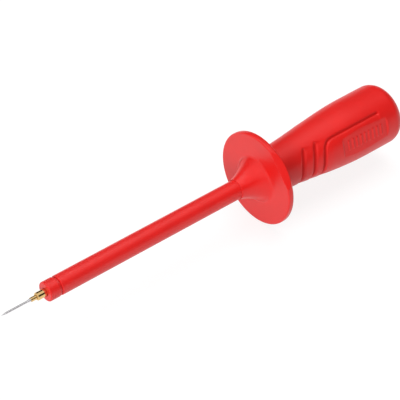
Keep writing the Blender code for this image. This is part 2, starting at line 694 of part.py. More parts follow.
def main():
    """Builds every piece on the probe's axis, which lies one guard radius over the table."""
    clear_scene()
    middle = (NEEDLE_TIP + HANDLE_REAR) / 2.0
    axis = add_object("probe_axis", None, None)
    axis.location = (-middle, 0.0, GUARD_RADIUS)
    needle_carrier = add_object("needle_carrier", None, axis)
    needle_carrier.location = (BARREL_FRONT, 0.0, 0.0)
    make_needle(needle_carrier)
    make_spring(axis)
    make_barrel(axis)
    make_barrel_plug(axis)
    make_tip_holder(axis)
    make_conductor_rod(axis)
    make_clamp_washer(axis)
    make_nose_cap(axis)
    make_shank_sleeve(axis)
    make_finger_guard(axis)
    make_handle_shell(axis)
    make_handle_core(axis)
    make_socket_contact(axis)
    make_contact_ring(axis)
    make_socket_shroud(axis)


main()
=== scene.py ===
import math

import bpy
import numpy as np
from bpy.props import FloatProperty, FloatVectorProperty, IntProperty, PointerProperty
from bpy.types import Operator, Panel, PropertyGroup
from mathutils import Matrix, Vector


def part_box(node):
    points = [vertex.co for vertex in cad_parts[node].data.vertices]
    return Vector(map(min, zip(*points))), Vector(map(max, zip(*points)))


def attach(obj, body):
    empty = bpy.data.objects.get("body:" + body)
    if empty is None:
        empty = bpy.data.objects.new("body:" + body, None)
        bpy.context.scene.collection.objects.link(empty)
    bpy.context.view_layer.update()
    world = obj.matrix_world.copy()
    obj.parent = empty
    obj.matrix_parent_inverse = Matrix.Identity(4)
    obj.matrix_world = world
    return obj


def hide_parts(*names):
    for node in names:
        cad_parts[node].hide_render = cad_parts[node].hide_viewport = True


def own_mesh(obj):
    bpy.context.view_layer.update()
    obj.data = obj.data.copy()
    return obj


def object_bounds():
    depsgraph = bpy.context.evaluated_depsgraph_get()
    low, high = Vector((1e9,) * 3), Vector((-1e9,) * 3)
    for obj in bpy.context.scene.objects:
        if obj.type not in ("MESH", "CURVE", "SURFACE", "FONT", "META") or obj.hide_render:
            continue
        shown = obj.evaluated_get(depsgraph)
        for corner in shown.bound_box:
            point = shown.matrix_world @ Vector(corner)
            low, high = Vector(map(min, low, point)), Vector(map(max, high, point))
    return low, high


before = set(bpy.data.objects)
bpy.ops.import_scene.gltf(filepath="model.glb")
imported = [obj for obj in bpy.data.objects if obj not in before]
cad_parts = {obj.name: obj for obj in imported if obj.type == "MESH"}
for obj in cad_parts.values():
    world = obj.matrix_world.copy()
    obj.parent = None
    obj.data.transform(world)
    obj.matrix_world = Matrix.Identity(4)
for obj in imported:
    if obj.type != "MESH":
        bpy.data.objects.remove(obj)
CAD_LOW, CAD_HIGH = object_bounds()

bl_info = {
    "name": "Test probe dressing",
    "version": (1, 0, 0),
    "blender": (4, 5, 0),
    "location": "3D View > Sidebar > Probe",
    "description": "Builds the shown pieces, finishes, lights and camera of a hand-held test probe",
    "category": "Object",
}

# Outlines are written in millimetres: a station counts backwards from the guard's front face,
# and a radius counts from the probe's axis.
MM = 0.001
AXIS_HEIGHT = CAD_HIGH.z / 2.0
GUARD_THICKNESS = 2.2
HANDLE_GAP = 0.3
GUARD_FRONT_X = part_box("handle_shell")[0].x - (GUARD_THICKNESS + HANDLE_GAP) * MM


def reach(node):
    """First and last station of a CAD node."""
    low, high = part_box(node)
    return (low.x - GUARD_FRONT_X) / MM, (high.x - GUARD_FRONT_X) / MM


def girth(node):
    """Largest radius of a CAD node, in millimetres."""
    low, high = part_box(node)
    return (high.z - low.z) / 2.0 / MM


# Sizes that follow the CAD model
NEEDLE_FRONT, NEEDLE_REAR = reach("probe_needle")
SPRING_FRONT, SPRING_REAR = reach("needle_spring")
BARREL_FRONT, BARREL_REAR = reach("needle_barrel")
HOLDER_FRONT, HOLDER_REAR = reach("tip_holder")
CAP_FRONT, CAP_SPIGOT_REAR = reach("nose_cap")
SHANK_FRONT, SHANK_REAR = reach("shank_sleeve")
HUB_FRONT, GUARD_BACK = reach("finger_guard")
HANDLE_FRONT, HANDLE_REAR = reach("handle_shell")
CONTACT_FRONT, CONTACT_REAR = reach("socket_contact")
RING_FRONT, RING_REAR = reach("contact_ring")
SHROUD_FRONT, SHROUD_REAR = reach("socket_shroud")
SHANK_RADIUS = girth("shank_sleeve")
GUARD_RADIUS = girth("finger_guard")
SHROUD_RADIUS = girth("socket_shroud")

# Sizes of the needle and its spring
NEEDLE_RADIUS = 0.36
POINT_LENGTH = 1.5
CONE_LENGTH = 1.3
GUIDE_RADIUS = 0.51
WAIST_RADIUS = 0.37
FRONT_GUIDE_LENGTH = 2.3
REAR_GUIDE_LENGTH = 2.0
METAL_GAP = 0.05
WIRE_RADIUS = 0.07
SPRING_GAP = 0.03
SPRING_TURNS = 15

# Sizes of the barrel and its holder
BARREL_BORE = 0.54
BARREL_RADIUS = 0.67
CRIMP_LENGTH = 0.5
CRIMP_DENT = 0.12
HOLDER_BORE = 0.70
HOLDER_RADIUS = 1.20
HOLDER_CHAMFER = 0.2
HOLDER_REAR_RADIUS = 1.42
HOLDER_WEB_FRONT = -62.15
HOLDER_WEB_REAR = -60.65
SPIGOT_BORE = 0.78

# Sizes of the cap and the shank
CAP_BORE = 1.28
CAP_BACK = -73.9
CAP_NECK_RADIUS = 2.6
CAP_SPIGOT_RADIUS = 2.2
SPIGOT_GAP = 0.3
SHANK_COUNTERBORE = 2.28
SHANK_BORE = 1.50

# Sizes of the guard
GUARD_BORE = 3.08
HUB_LIP_RADIUS = 3.2
HUB_BASE_RADIUS = 7.4
HUB_FRONT_SLOPE = math.radians(11.0)
HUB_FOOT_ROUND = 1.2
RIM_REACH = 2.0
GUARD_EDGE_ROUND = 0.5
GUARD_BACK_ROUND = 0.9
FLAT_DEPTH = 0.95
FLAT_SLOPE = 0.5
FLAT_ANGLE = math.radians(41.0)
FLAT_EDGE_ROUND = 0.10

# Sizes of the handle
HANDLE_WAIST_RADIUS = 7.0
HANDLE_RADIUS = 9.7
FLARE_LENGTH = 37.6
HANDLE_FRONT_ROUND = 0.5
HANDLE_REAR_ROUND = 3.9
HANDLE_BORE = 5.28
RECESS_RADIUS = 4.58
RECESS_CHAMFER = 0.3
CORE_STEP_REAR = 17.1

# Places and ends of the grip grooves. Angles rise from the horizontal.
GRIP_GROOVES = (10.7, 15.1)
GROOVE_END_ANGLE = math.radians(51.0)
FAR_GROOVE_TOP = math.radians(38.0)
GROOVE_UPPER_SWEEP = 1.85
GROOVE_LOWER_SWEEP = 0.1
GROOVE_LOWER_BEND = math.radians(36.0)
GROOVE_END_START = 0.9
GROOVE_END_LENGTH = 1.7

# Section of the grooves and the panel's line
RISE_SHARE = 0.38
SECTION_ROUND = 0.15
SECTION_LIP = 0.10
LEAST_SHARE = 0.05

# Place and section of the line round the panel
PANEL_FRONT = 18.75
PANEL_LENGTH = 22.6
PANEL_TOP_ANGLE = math.radians(47.5)
FAR_PANEL_TOP = math.radians(43.0)
PANEL_CORNER = 2.4
PANEL_TOP_WALL = 0.75
PANEL_FRONT_WALL = 1.5
PANEL_FRONT_SHIFT = 0.25
PANEL_FLOOR = 0.2
PANEL_RAMP = 0.36
PANEL_RISE = 1.8
LINE_END_START = 0.3
LINE_END_LENGTH = 0.9

# Sizes of the panel's flat and its ribs
LABEL_FRONT = 25.6
LABEL_LENGTH = 18.3
LABEL_WIDTH = 6.0
LABEL_ANGLE = math.radians(15.5)
LABEL_END_SLOPE = 1.1
LABEL_END_LENGTH = 0.35
LABEL_EDGE_ROUND = 0.10
LABEL_REACH = 1.2
RIB_MARGIN = 2.6
RIB_TOP = 0.18
RIB_FOOT = 0.42
RIB_END_TOP = 1.55
RIB_END_FOOT = 1.85

# Sizes of the socket
PLUG_BORE = 2.02
PLUG_BORE_DEPTH = 22.0
CONTACT_RADIUS = 2.60
TAPPED_RADIUS = 1.23
TAPPED_DEPTH = 7.0
RING_SEAT_RADIUS = 2.38
RING_GAP = 0.03
SLOT_WIDTH = 0.5
SLOT_LENGTH = 14.0
SHROUD_BORE = 2.68
SHROUD_LIP_BORE = 2.10
SHROUD_LIP = 0.8

# Painted shade on the walls of the handle's grooves and panel line, which are painted darker and made
# duller; and the relief of metals
PAINTED_SHADE_ATTRIBUTE = "seams"
PAINTED_SHADE_FACTOR = 0.7
PAINTED_SHADE_ROUGHNESS = 0.95
GROOVE_PAINTED_SHADE = 0.55
PANEL_TOP_PAINTED_SHADE = 0.8
PANEL_FRONT_PAINTED_SHADE = 0.65
METAL_RELIEF = 0.0006 * MM

# The stage, in metres: name, place and size of each lamp
LAMPS = (
    ("key", (-1.20, -0.60, 0.35), 0.70),
    ("fill", (-1.10, -0.16, 1.07), 0.90),
    ("top", (0.35, 0.10, 1.50), 1.20),
    ("far", (0.10, 0.80, 1.25), 1.20),
)
FLOOR_REACH = 3.0
FLOOR_DROP = 0.02 * MM
FLOOR_PAPER = 0.65
FLOOR_SHOWN = 0.22
FLOOR_GLOW = 0.84

# The dark band round the set: its edges as heights over the horizon, and the window it leaves open
BAND_DISTANCE = 1.5
BAND_LOW = math.radians(8.0)
BAND_DIP = math.radians(6.0)
BAND_HIGH = math.radians(47.0)
BAND_LEAN = math.radians(9.0)
BAND_LEAN_DIRECTION = math.radians(20.0)
BAND_GLOW = 0.07
WINDOW_DIRECTION = math.radians(177.0)
WINDOW_HALF_WIDTH = math.radians(49.0)

# The camera: its frame and focal length in pixels, and the guard's column and row in the frame
FRAME_SIDE = 400.0
FOCAL = 1732.0
GUARD_COLUMN = 255.14
GUARD_ROW = 179.06
SENSOR_WIDTH = 36.0


# Settings

def length_setting(name, description, default, low, high):
    """Length that a user may change. Its numbers are given in millimetres."""
    return FloatProperty(
        name=name, description=description, default=default * MM, min=low * MM, max=high * MM,
        precision=5, unit="LENGTH",
    )


def colour_setting(name, description, default):
    """Base colour that a user may change."""
    return FloatVectorProperty(
        name=name, description=description, default=default, min=0.0, max=1.0, size=3, subtype="COLOR",
    )


def power_setting(name, description, default):
    """Power of a lamp, in watts, that a user may change."""
    return FloatProperty(
        name=name, description=description, default=default, min=0.0, max=100.0, unit="POWER",
    )


class ProbeSizes(PropertyGroup):
    """Sizes of the relief on the handle."""

    groove_depth: length_setting("Groove depth", "Depth of the two grip grooves", 0.70, 0.0, 0.8)
    groove_wall: length_setting("Groove wall", "Width of a groove's front wall", 1.35, 0.3, 1.8)
    groove_floor: length_setting("Groove floor", "Width of a groove's floor", 0.45, 0.05, 1.0)
    groove_ramp: length_setting("Groove ramp", "Width of a groove's rear ramp", 0.45, 0.3, 2.4)
    groove_rise: length_setting("Groove rise", "Width of the slow rise behind the ramp", 2.00, 0.2, 2.4)
    panel_depth: length_setting("Panel line depth", "Depth of the line round the panel", 0.62, 0.0, 0.8)
    rib_height: length_setting("Rib height", "Height of the plain ribs", 0.22, 0.0, 0.3)
    rib_count: IntProperty(name="Ribs", description="Number of plain ribs", default=9, min=0, max=12)


class ProbeColours(PropertyGroup):
    """Base colours of the finishes."""

    red: colour_setting("Red plastic", "Colour of the red mouldings", (0.78, 0.009, 0.007))
    gold: colour_setting("Gold plating", "Colour of barrel and holder", (0.76, 0.51, 0.22))
    steel: colour_setting("Steel", "Colour of the steel pieces", (0.80, 0.78, 0.80))
    brass: colour_setting("Brass", "Colour of rod and plug", (0.76, 0.57, 0.28))
    nickel: colour_setting("Nickel plating", "Colour of the contact tube", (0.70, 0.67, 0.62))
    white: colour_setting("White plastic", "Colour of the insulating core", (0.78, 0.76, 0.70))


class ProbeStage(PropertyGroup):
    """Lights and camera."""

    world_strength: FloatProperty(
        name="Ambient light", description="Strength of the light from all around",
        default=0.25, min=0.0, max=2.0,
    )
    key_power: power_setting("Key light", "Power of the lamp before the tip", 10.8)
    top_power: power_setting("Top light", "Power of the lamp overhead", 11.8)
    fill_power: power_setting("Fill light", "Power of the lamp high over the tip", 2.9)
    far_power: power_setting("Far light", "Power of the lamp over the far side", 5.8)
    camera_azimuth: FloatProperty(
        name="Camera azimuth", description="Turn of the camera round the vertical",
        default=math.radians(-40.35), unit="ROTATION",
    )
    camera_elevation: FloatProperty(
        name="Camera elevation", description="Height of the camera over the horizon",
        default=math.radians(39.05), unit="ROTATION",
    )
    camera_distance: FloatProperty(
        name="Camera distance", description="Distance of the camera from the guard",
        default=0.515, min=0.1, unit="LENGTH",
    )


# Outlines and meshes

def soft_least(a, b, width):
    """Smaller of two values, with the change between them rounded over a width."""
    share = np.clip(0.5 + 0.5 * (b - a) / width, 0.0, 1.0)
    return b + (a - b) * share - width * share * (1.0 - share)


def soft_step(value, low, high):
    """Smooth change from 0 at low to 1 at high."""
    share = np.clip((value - low) / (high - low), 0.0, 1.0)
    return share * share * (3.0 - 2.0 * share)


def arc(centre, radius, start, end, steps):
    """Points (station, radius) of an arc. Angles in degrees: 180 looks forwards, 90 outwards."""
    angles = [math.radians(start + (end - start) * step / steps) for step in range(steps + 1)]
    return [(centre[0] + radius * math.cos(angle), centre[1] + radius * math.sin(angle)) for angle in angles]


def bezier(start, control, end, steps):
    """Points of a quadratic curve between two points."""
    points = []
    for step in range(steps + 1):
        share = step / steps
        points.append(tuple(
            start[i] * (1.0 - share) ** 2 + 2.0 * control[i] * share * (1.0 - share) + end[i] * share ** 2
            for i in range(2)
        ))
    return points


def rounded(corners, closed=True, steps=4):
    """Outline from corners (station, radius, rounding).

    A point close to each side of an arc keeps the faces beside it flat when they are shaded smooth.
    """
    outline = []
    count = len(corners)
    for index, (station, radius, rounding) in enumerate(corners):
        corner = Vector((station, radius))
        before = Vector(corners[index - 1][:2]) - corner
        after = Vector(corners[(index + 1) % count][:2]) - corner
        is_end = not closed and index in (0, count - 1)
        if is_end or rounding <= 0.0 or before.angle(after) > math.radians(178.0):
            outline.append((station, radius))
            continue
        opening = before.angle(after)
        room = 0.42 * min(before.length, after.length)
        cut = min(rounding / math.tan(opening / 2.0), room)
        arc_radius = cut * math.tan(opening / 2.0)
        first = corner + before.normalized() * cut
        last = corner + after.normalized() * cut
        inwards = (before.normalized() + after.normalized()).normalized()
        centre = corner + inwards * (arc_radius / math.sin(opening / 2.0))
        start = first - centre
        end = last - centre
        turn = start.angle(end)
        outline.append(tuple(first + before.normalized() * 0.1 * cut))
        for step in range(steps + 1):
            share = step / steps
            blend = (start * math.sin((1.0 - share) * turn) + end * math.sin(share * turn)) / math.sin(turn)
            outline.append(tuple(centre + blend))
        outline.append(tuple(last + after.normalized() * 0.1 * cut))
    return outline


def carried(points, columns):
    """Stations and radii of outline points, the same in each of so many columns."""
    return [np.repeat(values[:, None], columns, axis=1) for values in np.array(points).T]


def new_mesh(name, vertices, faces, smooth=True):
    """Mesh of vertices and faces."""
    mesh = bpy.data.meshes.new(name)
    mesh.from_pydata(vertices, [], faces)
    mesh.update()
    if smooth:
        mesh.shade_smooth()
    return mesh


def grid_faces(rows, columns, ring=True):
    """Faces of a grid of points, whose last column may join its first one in a ring."""
    faces = []
    for row in range(rows - 1):
        for column in range(columns if ring else columns - 1):
            here = row * columns + column
            beside = row * columns + (column + 1) % columns
            faces.append((here, beside, beside + columns, here + columns))
    return faces


def tube_faces(rings, around):
    """Faces of a bent tube of so many rings, with closed ends."""
    faces = [(a, d, c, b) for a, b, c, d in grid_faces(rings, around)]
    faces.append(tuple(range(around)))
    faces.append(tuple(reversed(range((rings - 1) * around, rings * around))))
    return faces


def swept(name, stations, radii, angles, poles=False):
    """Mesh of an outline carried round the axis.

    stations and radii have one row for each outline point and one column for each angle, and the
    outline runs backwards on the outside and forwards on the inside. With poles, it starts and ends
    on the axis. Angles count from +Y towards +Z.
    """
    rows, columns = stations.shape
    points = np.stack([
        GUARD_FRONT_X + stations * MM,
        radii * np.cos(angles) * MM,
        AXIS_HEIGHT + radii * np.sin(angles) * MM,
    ], axis=-1)
    if not poles:
        faces = np.array(grid_faces(rows + 1, columns)) % (rows * columns)
        return new_mesh(name, points.reshape(-1, 3).tolist(), faces.tolist())
    inner = points[1:-1].reshape(-1, 3)
    vertices = np.concatenate([inner, points[0, :1], points[-1, :1]])
    front = len(inner)
    last = front - columns
    faces = [(front, (column + 1) % columns, column) for column in range(columns)]
    faces += [(front + 1, last + column, last + (column + 1) % columns) for column in range(columns)]
    return new_mesh(name, vertices.tolist(), faces + grid_faces(rows - 2, columns))


def turned(name, outline, segments=96, poles=False):
    """Mesh of an outline turned round the axis."""
    stations, radii = carried(outline, segments)
    angles = np.arange(segments) * math.tau / segments
    return swept(name, stations, radii, angles, poles)


def add_object(name, data):
    """Object of a mesh, a lamp or a camera, in the scene."""
    made = bpy.data.objects.new(name, data)
    bpy.context.scene.collection.objects.link(made)
    return made


def add_piece(mesh, material, slot, body, *nodes):
    """Object of a mesh, with its finish, on a CAD body and in the place of CAD nodes."""
    piece = add_object(mesh.name, mesh)
    piece.data.materials.append(material)
    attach(piece, body)
    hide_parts(*nodes)
    return piece


# Finishes

def empty_tree(owner):
    """Node tree of a material or a world, without its first nodes."""
    owner.use_nodes = True
    owner.node_tree.nodes.clear()
    return owner.node_tree


def add_node(tree, kind, values=None, links=None, **settings):
    """Node with its settings, and with values and links for its inputs by name or number."""
    node = tree.nodes.new(kind)
    for name, setting in settings.items():
        setattr(node, name, setting)
    for name, value in (values or {}).items():
        node.inputs[name].default_value = value
    for name, source in (links or {}).items():
        tree.links.new(source, node.inputs[name])
    return node


def plain_finish(name, colour, roughness, metallic=0.0, specular=0.5):
    """Material with its shader's own sockets set, its node tree and its shader."""
    material = bpy.data.materials.get(name) or bpy.data.materials.new(name)
    tree = empty_tree(material)
    shader = add_node(tree, "ShaderNodeBsdfPrincipled", {
        "Base Color": (*colour, 1.0),
        "Roughness": roughness,
        "Metallic": metallic,
        "Specular IOR Level": specular,
    })
    add_node(tree, "ShaderNodeOutputMaterial", links={"Surface": shader.outputs["BSDF"]})
    return material, tree, shader


def place_in_object(tree, stretch=(1.0, 1.0, 1.0)):
    """Output socket with the place on the object, stretched along its axes."""
    place = add_node(tree, "ShaderNodeTexCoord").outputs["Object"]
    return add_node(tree, "ShaderNodeMapping", {"Scale": stretch}, {"Vector": place}).outputs["Vector"]


def noise(tree, place, grain, detail=2.0, roughness=0.5):
    """Noise whose grain is so many metres wide."""
    values = {"Scale": 1.0 / grain, "Detail": detail, "Roughness": roughness}
    return add_node(tree, "ShaderNodeTexNoise", values, {"Vector": place}).outputs["Fac"]


def spread(tree, value, low, high, start=0.15, end=0.85):
    """Value from start to end, spread over low to high."""
    values = {"From Min": start, "From Max": end, "To Min": low, "To Max": high}
    return add_node(tree, "ShaderNodeMapRange", values, {"Value": value}).outputs["Result"]


def tint(tree, share, first, second):
    """Colour from first to second by a share."""
    values = {"A": (*first, 1.0), "B": (*second, 1.0)}
    return add_node(tree, "ShaderNodeMix", values, {"Factor": share}, data_type="RGBA").outputs["Result"]


def relief(tree, shader, height, depth):
    """Gives the shader a bump of a depth in metres, from a height of 0 to 1."""
    bump = add_node(tree, "ShaderNodeBump", {"Strength": 1.0, "Distance": depth}, {"Height": height})
    tree.links.new(bump.outputs["Normal"], shader.inputs["Normal"])


def shade_of(colour, factor):
    """Colour made lighter or darker."""
    return tuple(min(1.0, channel * factor) for channel in colour)


def uneven_shade(tree, shader, cloud, colour, darkest, lightest):
    """Changes the shader's colour from a darker to a lighter shade, by a noise, and returns it."""
    share = spread(tree, cloud, 0.0, 1.0)
    shade = tint(tree, share, shade_of(colour, darkest), shade_of(colour, lightest))
    tree.links.new(shade, shader.inputs["Base Color"])
    return shade


def uneven_gloss(tree, shader, cloud, roughness):
    """Changes the shader's roughness a little, by a noise."""
    gloss = spread(tree, cloud, roughness - 0.04, roughness + 0.06)
    tree.links.new(gloss, shader.inputs["Roughness"])


def chosen(colour):
    """Channels of a colour that the scene's settings name."""
    return tuple(getattr(bpy.context.scene.probe_colours, colour))


def red_plastic(name, roughness, grain, depth, specular, seams=False):
    """Moulded red plastic: slow random changes of tone, the mould's fine grain, and painted shade in the
    grooves if asked for.
    """
    colour = chosen("red")
    material, tree, shader = plain_finish(name, colour, roughness, specular=specular)
    place = place_in_object(tree)
    shade = uneven_shade(tree, shader, noise(tree, place, 6.0 * MM), colour, 0.94, 1.05)
    relief(tree, shader, noise(tree, place, grain, 3.0, 0.6), depth)
    # Painted shade: a mesh attribute darkens the colour on the walls of grooves and lines, and makes them
    # duller
    if seams:
        dark = add_node(tree, "ShaderNodeAttribute", attribute_name=PAINTED_SHADE_ATTRIBUTE).outputs["Fac"]
        darker = tint(tree, dark, colour, shade_of(colour, PAINTED_SHADE_FACTOR))
        tree.links.new(shade, darker.node.inputs["A"])
        tree.links.new(darker, shader.inputs["Base Color"])
        gloss = spread(tree, dark, roughness, PAINTED_SHADE_ROUGHNESS, 0.0, 0.5)
        tree.links.new(gloss, shader.inputs["Roughness"])
    return material


def turned_metal(name, colour_name, roughness):
    """Turned and plated metal: fine tool marks round the axis and an uneven gloss."""
    colour = chosen(colour_name)
    material, tree, shader = plain_finish(name, colour, roughness, metallic=1.0)
    cloud = noise(tree, place_in_object(tree), 0.7 * MM, 3.0)
    uneven_shade(tree, shader, cloud, colour, 0.95, 1.04)
    uneven_gloss(tree, shader, cloud, roughness)
    marks = noise(tree, place_in_object(tree, (1.0, 0.02, 0.02)), 0.05 * MM, 2.0, 0.7)
    relief(tree, shader, marks, METAL_RELIEF)
    return material


def drawn_metal(name, colour_name, roughness):
    """Drawn or ground metal: fine lines along the axis."""
    colour = chosen(colour_name)
    material, tree, shader = plain_finish(name, colour, roughness, metallic=1.0)
    lines = noise(tree, place_in_object(tree, (0.03, 1.0, 1.0)), 0.04 * MM, 3.0, 0.6)
    uneven_shade(tree, shader, lines, colour, 0.92, 1.05)
    uneven_gloss(tree, shader, lines, roughness)
    relief(tree, shader, lines, METAL_RELIEF)
    return material


def white_plastic(name):
    """Moulded insulating plastic, slightly cloudy."""
    colour = chosen("white")
    material, tree, shader = plain_finish(name, colour, 0.48, specular=0.4)
    place = place_in_object(tree)
    uneven_shade(tree, shader, noise(tree, place, 3.0 * MM, 3.0), colour, 0.96, 1.02)
    relief(tree, shader, noise(tree, place, 0.25 * MM, 3.0), 0.003 * MM)
    return material


# Needle, spring and tip

class ProbeNeedle(Operator):
    """Add the steel needle, which slides"""

    bl_idname = "probe.needle"
    bl_label = "Needle"

    def execute(self, context):
        cone_rear = BARREL_FRONT - METAL_GAP
        cone_front = cone_rear - CONE_LENGTH
        waist_front = BARREL_FRONT + FRONT_GUIDE_LENGTH
        waist_rear = NEEDLE_REAR - REAR_GUIDE_LENGTH
        outline = rounded([
            (NEEDLE_FRONT, 0.0, 0.0),
            (NEEDLE_FRONT, 0.05, 0.03),
            (NEEDLE_FRONT + POINT_LENGTH, NEEDLE_RADIUS, 0.6),
            (cone_front, NEEDLE_RADIUS, 0.15),
            (cone_rear, GUIDE_RADIUS, 0.05),
            (waist_front, GUIDE_RADIUS, 0.04),
            (waist_front, WAIST_RADIUS, 0.04),
            (waist_rear, WAIST_RADIUS, 0.04),
            (waist_rear, GUIDE_RADIUS, 0.04),
            (NEEDLE_REAR, GUIDE_RADIUS, 0.08),
            (NEEDLE_REAR, 0.0, 0.0),
        ], closed=False)
        mesh = turned("needle", outline, 64, poles=True)
        add_piece(mesh, drawn_metal("ground_steel", "steel", 0.24), "steel", "needle", "probe_needle")
        return {"FINISHED"}


def coil(name, front, length, coil_radius, steps_per_turn=24, wire_steps=10):
    """Mesh of the spring's wire, whose turns lie a little closer together at both ends."""
    steps = SPRING_TURNS * steps_per_turn
    vertices = []
    for step in range(steps + 1):
        share = step / steps
        ease = share - 0.02 * math.sin(math.tau * share)
        angle = math.tau * (step / steps_per_turn)
        outwards = Vector((0.0, math.cos(angle), math.sin(angle)))
        centre = Vector((front + length * ease, coil_radius * math.cos(angle),
                         coil_radius * math.sin(angle)))
        ahead = Vector((length / SPRING_TURNS / math.tau, -coil_radius * math.sin(angle),
                        coil_radius * math.cos(angle))).normalized()
        across = ahead.cross(outwards)
        for wire_step in range(wire_steps):
            around = math.tau * wire_step / wire_steps
            point = centre + WIRE_RADIUS * (outwards * math.cos(around) + across * math.sin(around))
            vertices.append((GUARD_FRONT_X + point.x * MM, point.y * MM, AXIS_HEIGHT + point.z * MM))
    return new_mesh(name, vertices, tube_faces(steps + 1, wire_steps))


class ProbeSpring(Operator):
    """Add the coil spring behind the needle"""

    bl_idname = "probe.spring"
    bl_label = "Needle spring"

    def execute(self, context):
        length = SPRING_REAR - SPRING_FRONT
        mesh = coil("coil_spring", SPRING_FRONT + WIRE_RADIUS, length - 2.0 * WIRE_RADIUS,
                    BARREL_BORE - SPRING_GAP - WIRE_RADIUS)
        steel = drawn_metal("spring_wire", "steel", 0.3)
        spring = add_piece(mesh, steel, "steel", "root", "needle_spring")
        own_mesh(spring)
        return {"FINISHED"}


class ProbeTip(Operator):
    """Add the gold-plated barrel and its holder"""

    bl_idname = "probe.tip"
    bl_label = "Barrel and holder"

    def execute(self, context):
        crimp_rear = NEEDLE_REAR - REAR_GUIDE_LENGTH - METAL_GAP
        crimp_front = crimp_rear - CRIMP_LENGTH
        crimp_middle = crimp_front + CRIMP_LENGTH / 2.0
        barrel = rounded([
            (BARREL_FRONT, BARREL_BORE, 0.03),
            (BARREL_FRONT, BARREL_RADIUS, 0.09),
            (crimp_front, BARREL_RADIUS, 0.1),
            (crimp_middle, BARREL_RADIUS - CRIMP_DENT, 0.15),
            (crimp_rear, BARREL_RADIUS, 0.1),
            (BARREL_REAR, BARREL_RADIUS, 0.04),
            (BARREL_REAR, BARREL_BORE, 0.03),
            (crimp_rear, BARREL_BORE, 0.1),
            (crimp_middle, BARREL_BORE - CRIMP_DENT, 0.15),
            (crimp_front, BARREL_BORE, 0.1),
        ])
        add_piece(turned("barrel_tube", barrel, 72), turned_metal("gold_barrel", "gold", 0.14),
                  "gold_plating", "root", "needle_barrel")
        collar_front = CAP_SPIGOT_REAR + SPIGOT_GAP
        holder = rounded([
            (HOLDER_FRONT, HOLDER_BORE, 0.03),
            (HOLDER_FRONT, HOLDER_RADIUS - HOLDER_CHAMFER, 0.04),
            (HOLDER_FRONT + HOLDER_CHAMFER, HOLDER_RADIUS, 0.06),
            (collar_front, HOLDER_RADIUS, 0.05),
            (collar_front, HOLDER_REAR_RADIUS, 0.08),
            (HOLDER_REAR, HOLDER_REAR_RADIUS, 0.08),
            (HOLDER_REAR, SPIGOT_BORE, 0.08),
            (HOLDER_WEB_REAR, SPIGOT_BORE, 0.06),
            (HOLDER_WEB_REAR, 0.02, 0.0),
            (HOLDER_WEB_FRONT, 0.02, 0.0),
            (HOLDER_WEB_FRONT, HOLDER_BORE, 0.06),
        ])
        add_piece(turned("gold_holder", holder, 96), turned_metal("gold_turned", "gold", 0.13),
                  "gold_plating", "root", "tip_holder")
        return {"FINISHED"}


# Cap, shank and guard

class ProbeShank(Operator):
    """Add the nose cap and the long insulating shank"""

    bl_idname = "probe.shank"
    bl_label = "Nose cap and shank"

    def execute(self, context):
        neck_rear = SHANK_FRONT - METAL_GAP
        cap = rounded([
            (CAP_FRONT, CAP_BORE, 0.07),
            (CAP_FRONT, SHANK_RADIUS, 0.38),
            (CAP_BACK, SHANK_RADIUS, 0.24),
            (CAP_BACK, CAP_NECK_RADIUS, 0.06),
            (neck_rear, CAP_NECK_RADIUS, 0.05),
            (neck_rear, CAP_SPIGOT_RADIUS, 0.05),
            (CAP_SPIGOT_REAR, CAP_SPIGOT_RADIUS, 0.15),
            (CAP_SPIGOT_REAR, CAP_BORE, 0.06),
        ], steps=6)
        red = red_plastic("red_shank", roughness=0.41, grain=0.5 * MM, depth=0.0012 * MM, specular=0.65)
        add_piece(turned("nose_ring", cap, 120), red, "red_plastic", "root", "nose_cap")
        counterbore_rear = CAP_SPIGOT_REAR + SPIGOT_GAP
        shank = rounded([
            (SHANK_FRONT, SHANK_COUNTERBORE, 0.06),
            (SHANK_FRONT, SHANK_RADIUS, 0.24),
            (SHANK_REAR, SHANK_RADIUS, 0.15),
            (SHANK_REAR, SHANK_BORE, 0.08),
            (counterbore_rear, SHANK_BORE, 0.05),
            (counterbore_rear, SHANK_COUNTERBORE, 0.05),
        ], steps=5)
        add_piece(turned("shank_tube", shank, 120), red, "red_plastic", "root", "shank_sleeve")
        return {"FINISHED"}


def guard_rim(turn):
    """Stations and radii of the guard's outer edge, at each turn from the middle of its slanted flat."""
    centre = (GUARD_THICKNESS / 2.0, GUARD_RADIUS - RIM_REACH)
    section = [(0.0, centre[1])]
    section += arc((GUARD_EDGE_ROUND, GUARD_RADIUS - GUARD_EDGE_ROUND), GUARD_EDGE_ROUND, 180.0, 90.0, 24)
    section += arc((GUARD_BACK - GUARD_BACK_ROUND, GUARD_RADIUS - GUARD_BACK_ROUND),
                   GUARD_BACK_ROUND, 90.0, 0.0, 24)
    section += [(GUARD_BACK, centre[1])]
    section = np.array(section)
    # The section is read as a distance from the centre, at each direction of look
    shares = np.arange(0.0, 1.0, 0.05)[:, None]
    sides = [first + (second - first) * shares for first, second in zip(section[:-1], section[1:])]
    dense = np.concatenate(sides + [section[-1:]]) - centre
    direction = np.arctan2(dense[:, 1], -dense[:, 0])
    look = np.radians(np.linspace(0.0, 180.0, 73))[:, None]
    rim = np.interp(look, direction, np.hypot(dense[:, 0], dense[:, 1]))
    # The flat is a plane that cuts the rim where it lies nearer to the centre
    slant = np.cos(np.clip((turn + math.pi) % math.tau - math.pi, -1.2, 1.2))[None, :]
    leaning = np.sin(look) + FLAT_SLOPE * np.cos(look) / slant
    plane = ((GUARD_RADIUS - FLAT_DEPTH) / slant - centre[1]) / np.maximum(leaning, 0.05)
    cut = soft_least(rim, plane, FLAT_EDGE_ROUND)
    return centre[0] - cut * np.cos(look), centre[1] + cut * np.sin(look)


